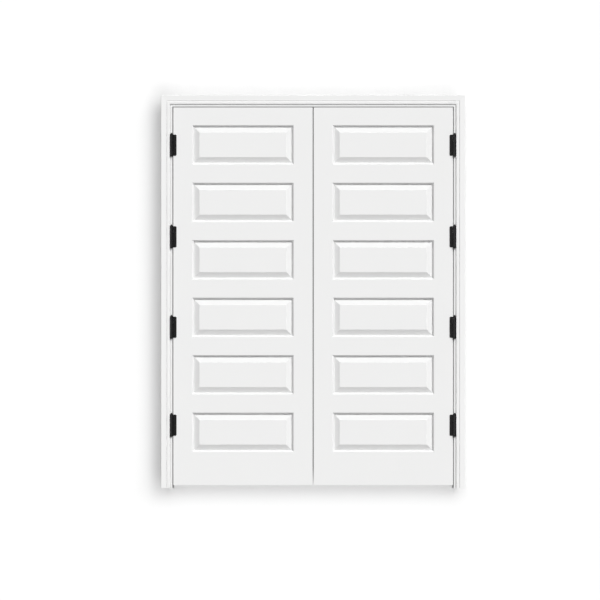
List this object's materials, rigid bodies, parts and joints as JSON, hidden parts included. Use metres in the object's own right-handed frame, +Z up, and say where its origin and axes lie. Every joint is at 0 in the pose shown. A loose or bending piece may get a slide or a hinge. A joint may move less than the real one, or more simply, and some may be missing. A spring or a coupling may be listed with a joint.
{
  "type": "double door",
  "caption": "Hinged double door with raised panels in a frame of jambs, stops and casing, both leaves opening towards the casing side.",
  "frame": {"origin": "on the floor, at the middle of the whole unit's outline", "axes": "+X along the doorway to the right as seen from the casing side, +Y through the doorway away from the viewer, +Z up"},
  "size_m": [1.964, 0.1372, 2.536],
  "materials": {
    "paint_white": "white satin paint on wood",
    "hinge_black": "matt black coated steel"
  },
  "bodies": {
    "frame": {"head_jamb": "paint_white", "head_stop": "paint_white", "head_casing": "paint_white", "left_jamb": "paint_white", "left_stop": "paint_white", "left_casing": "paint_white", "left_jamb_hinge_leaves": "hinge_black", "left_hinge_pins": "hinge_black", "right_jamb": "paint_white", "right_stop": "paint_white", "right_casing": "paint_white", "right_jamb_hinge_leaves": "hinge_black", "right_hinge_pins": "hinge_black"},
    "left_leaf": {"left_hinge_stile": "paint_white", "left_meeting_stile": "paint_white", "left_top_rail": "paint_white", "left_cross_rail_1": "paint_white", "left_cross_rail_2": "paint_white", "left_cross_rail_3": "paint_white", "left_cross_rail_4": "paint_white", "left_cross_rail_5": "paint_white", "left_bottom_rail": "paint_white", "left_panel_1": "paint_white", "left_panel_2": "paint_white", "left_panel_3": "paint_white", "left_panel_4": "paint_white", "left_panel_5": "paint_white", "left_panel_6": "paint_white", "left_door_hinge_leaves": "hinge_black"},
    "right_leaf": {"right_hinge_stile": "paint_white", "right_meeting_stile": "paint_white", "right_top_rail": "paint_white", "right_cross_rail_1": "paint_white", "right_cross_rail_2": "paint_white", "right_cross_rail_3": "paint_white", "right_cross_rail_4": "paint_white", "right_cross_rail_5": "paint_white", "right_bottom_rail": "paint_white", "right_panel_1": "paint_white", "right_panel_2": "paint_white", "right_panel_3": "paint_white", "right_panel_4": "paint_white", "right_panel_5": "paint_white", "right_panel_6": "paint_white", "right_door_hinge_leaves": "hinge_black"}
  },
  "joints": [
    {"name": "left_leaf_hinge", "type": "hinge", "parent": "frame", "child": "left_leaf", "pos_m": [-0.9142, -0.05815, 1.238], "axis": [0, 0, -1], "range_deg": [0, 180]},
    {"name": "right_leaf_hinge", "type": "hinge", "parent": "frame", "child": "right_leaf", "pos_m": [0.9142, -0.05815, 1.238], "axis": [0, 0, 1], "range_deg": [0, 180]}
  ]
}
